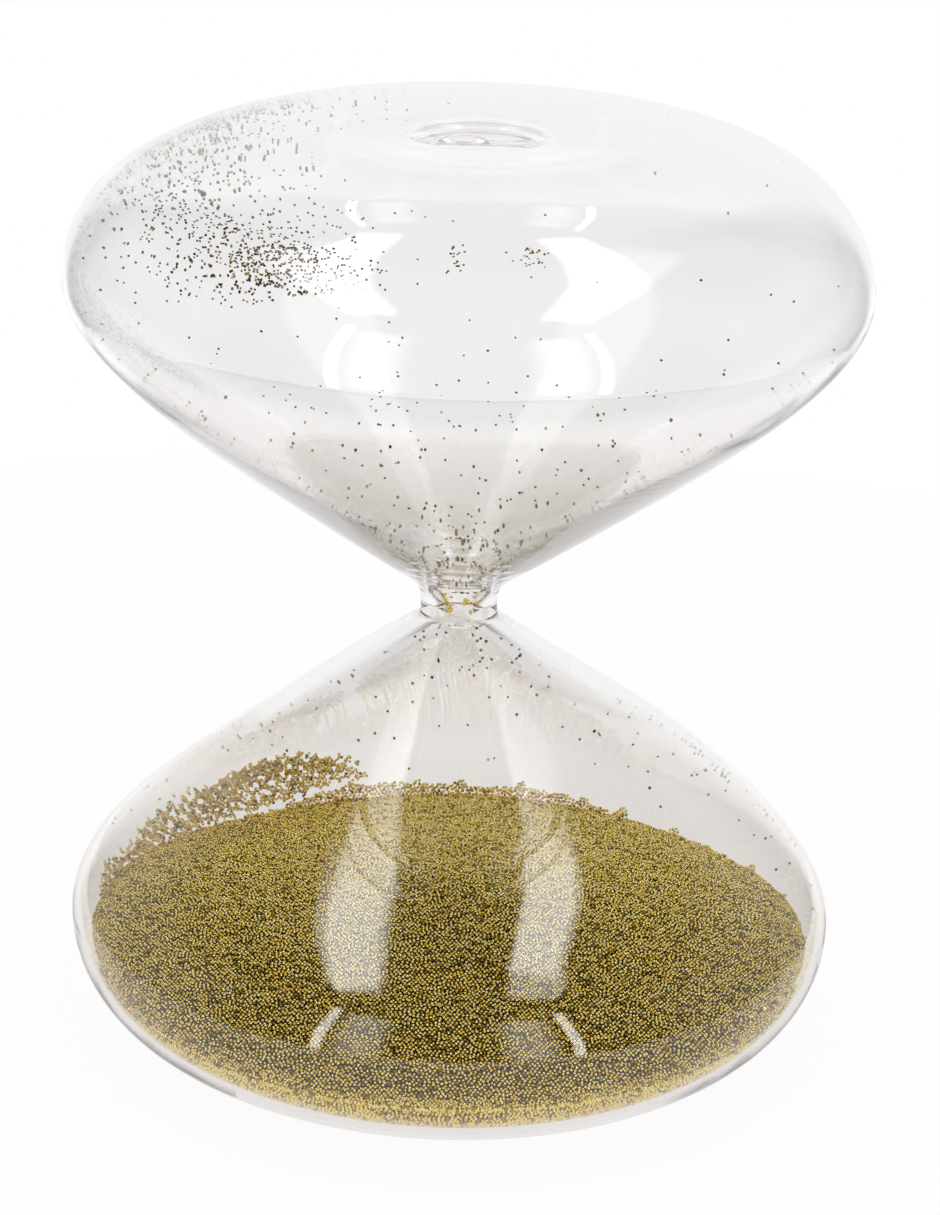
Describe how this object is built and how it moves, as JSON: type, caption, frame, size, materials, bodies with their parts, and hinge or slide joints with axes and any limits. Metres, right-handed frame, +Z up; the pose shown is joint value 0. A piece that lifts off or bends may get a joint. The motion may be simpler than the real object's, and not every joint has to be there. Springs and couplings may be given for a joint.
{
  "type": "hourglass",
  "caption": "Frameless blown-glass hourglass: two flattened bulbs fused at a narrow neck, with fine gold beads run down into the lower bulb.",
  "frame": {"origin": "middle of the flat ring that the glass stands on, on the axis of the glass", "axes": "+Z up along the axis of the glass, +Y towards the back, where the drift of clinging beads lies"},
  "size_m": [0.146, 0.146, 0.175],
  "materials": {
    "clear_glass": "polished",
    "thick_glass": "polished",
    "gold_beads": "gloss"
  },
  "bodies": {
    "glass": {"upper_bulb": "clear_glass", "throat": "thick_glass", "lower_bulb": "clear_glass", "filling_seal": "thick_glass", "upper_clinging_beads": "gold_beads", "lower_clinging_beads": "gold_beads", "lip_beads": "gold_beads"},
    "bead_charge": {"bead_heap": "gold_beads", "bead_drift": "gold_beads"},
    "bead": {"loose_bead": "gold_beads"}
  },
  "joints": [
    {"name": "charge_swirl", "type": "hinge", "parent": "glass", "child": "bead_charge", "pos_m": [0, 0, 0.02], "axis": [0, 0, 1], "continuous": true},
    {"name": "bead_drop", "type": "slide", "parent": "glass", "child": "bead", "axis": [0, 0, -1], "range_m": [0, 0.0536]}
  ]
}
